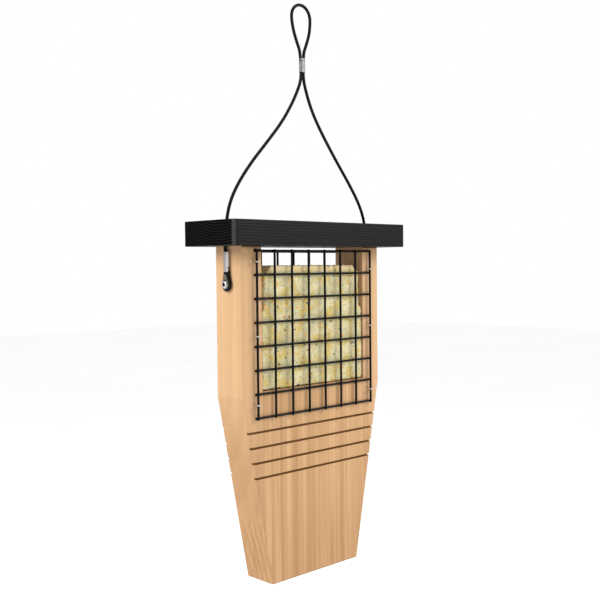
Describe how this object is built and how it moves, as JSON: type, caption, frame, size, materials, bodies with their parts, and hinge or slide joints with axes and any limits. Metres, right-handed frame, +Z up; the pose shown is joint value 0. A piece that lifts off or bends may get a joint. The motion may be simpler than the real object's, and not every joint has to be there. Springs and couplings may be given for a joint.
{
  "type": "hanging bird feeder",
  "caption": "Hanging suet feeder: tapered cedar body with a tail board, wire grids front and back, and a black roof that slides up its hanging cable.",
  "frame": {"origin": "inside top of the hanging loop, where a hook bears, midway through the body's depth", "axes": "+Z up, front towards -Y, +X to the right as seen from the front"},
  "size_m": [0.211, 0.067, 0.5048],
  "materials": {
    "cedar_side": "planed cedar, unfinished",
    "cedar_tail": "planed cedar, unfinished",
    "dowel_wood": "hardwood, unfinished",
    "vinyl_wire": "black vinyl coat, satin",
    "staple_steel": "galvanised, bright",
    "cable_vinyl": "black vinyl coat on steel cable, satin",
    "ferrule_aluminium": "crimped, bright",
    "thimble_steel": "galvanised, dull",
    "screw_steel": "zinc plated, bright",
    "roof_stain": "black stain with the grain showing, satin",
    "suet": "waxy rendered fat with seeds and corn"
  },
  "bodies": {
    "body": {"side_board_left": "cedar_side", "side_board_right": "cedar_side", "tail_board": "cedar_tail", "dowels_left": "dowel_wood", "dowels_right": "dowel_wood", "wire_grid_front": "vinyl_wire", "wire_grid_back": "vinyl_wire", "staples_front": "staple_steel", "staples_back": "staple_steel", "top_ferrule": "ferrule_aluminium", "cable_loop": "cable_vinyl", "cable_strand_left": "cable_vinyl", "cable_drop_left": "cable_vinyl", "cable_eye_left": "cable_vinyl", "end_ferrule_left": "ferrule_aluminium", "thimble_left": "thimble_steel", "side_screw_left": "screw_steel", "cable_strand_right": "cable_vinyl", "cable_drop_right": "cable_vinyl", "cable_eye_right": "cable_vinyl", "end_ferrule_right": "ferrule_aluminium", "thimble_right": "thimble_steel", "side_screw_right": "screw_steel"},
    "roof": {"roof_board": "roof_stain"},
    "suet": {"suet_cake": "suet"}
  },
  "joints": [
    {"name": "roof_slide", "type": "slide", "parent": "body", "child": "roof", "axis": [0, 0, 1], "range_m": [0, 0.06], "deforming": ["cable_strand_left", "cable_strand_right", "cable_drop_left", "cable_drop_right"]},
    {"name": "suet_lift", "type": "slide", "parent": "body", "child": "suet", "axis": [0, 0, 1], "range_m": [0, 0.014]}
  ]
}
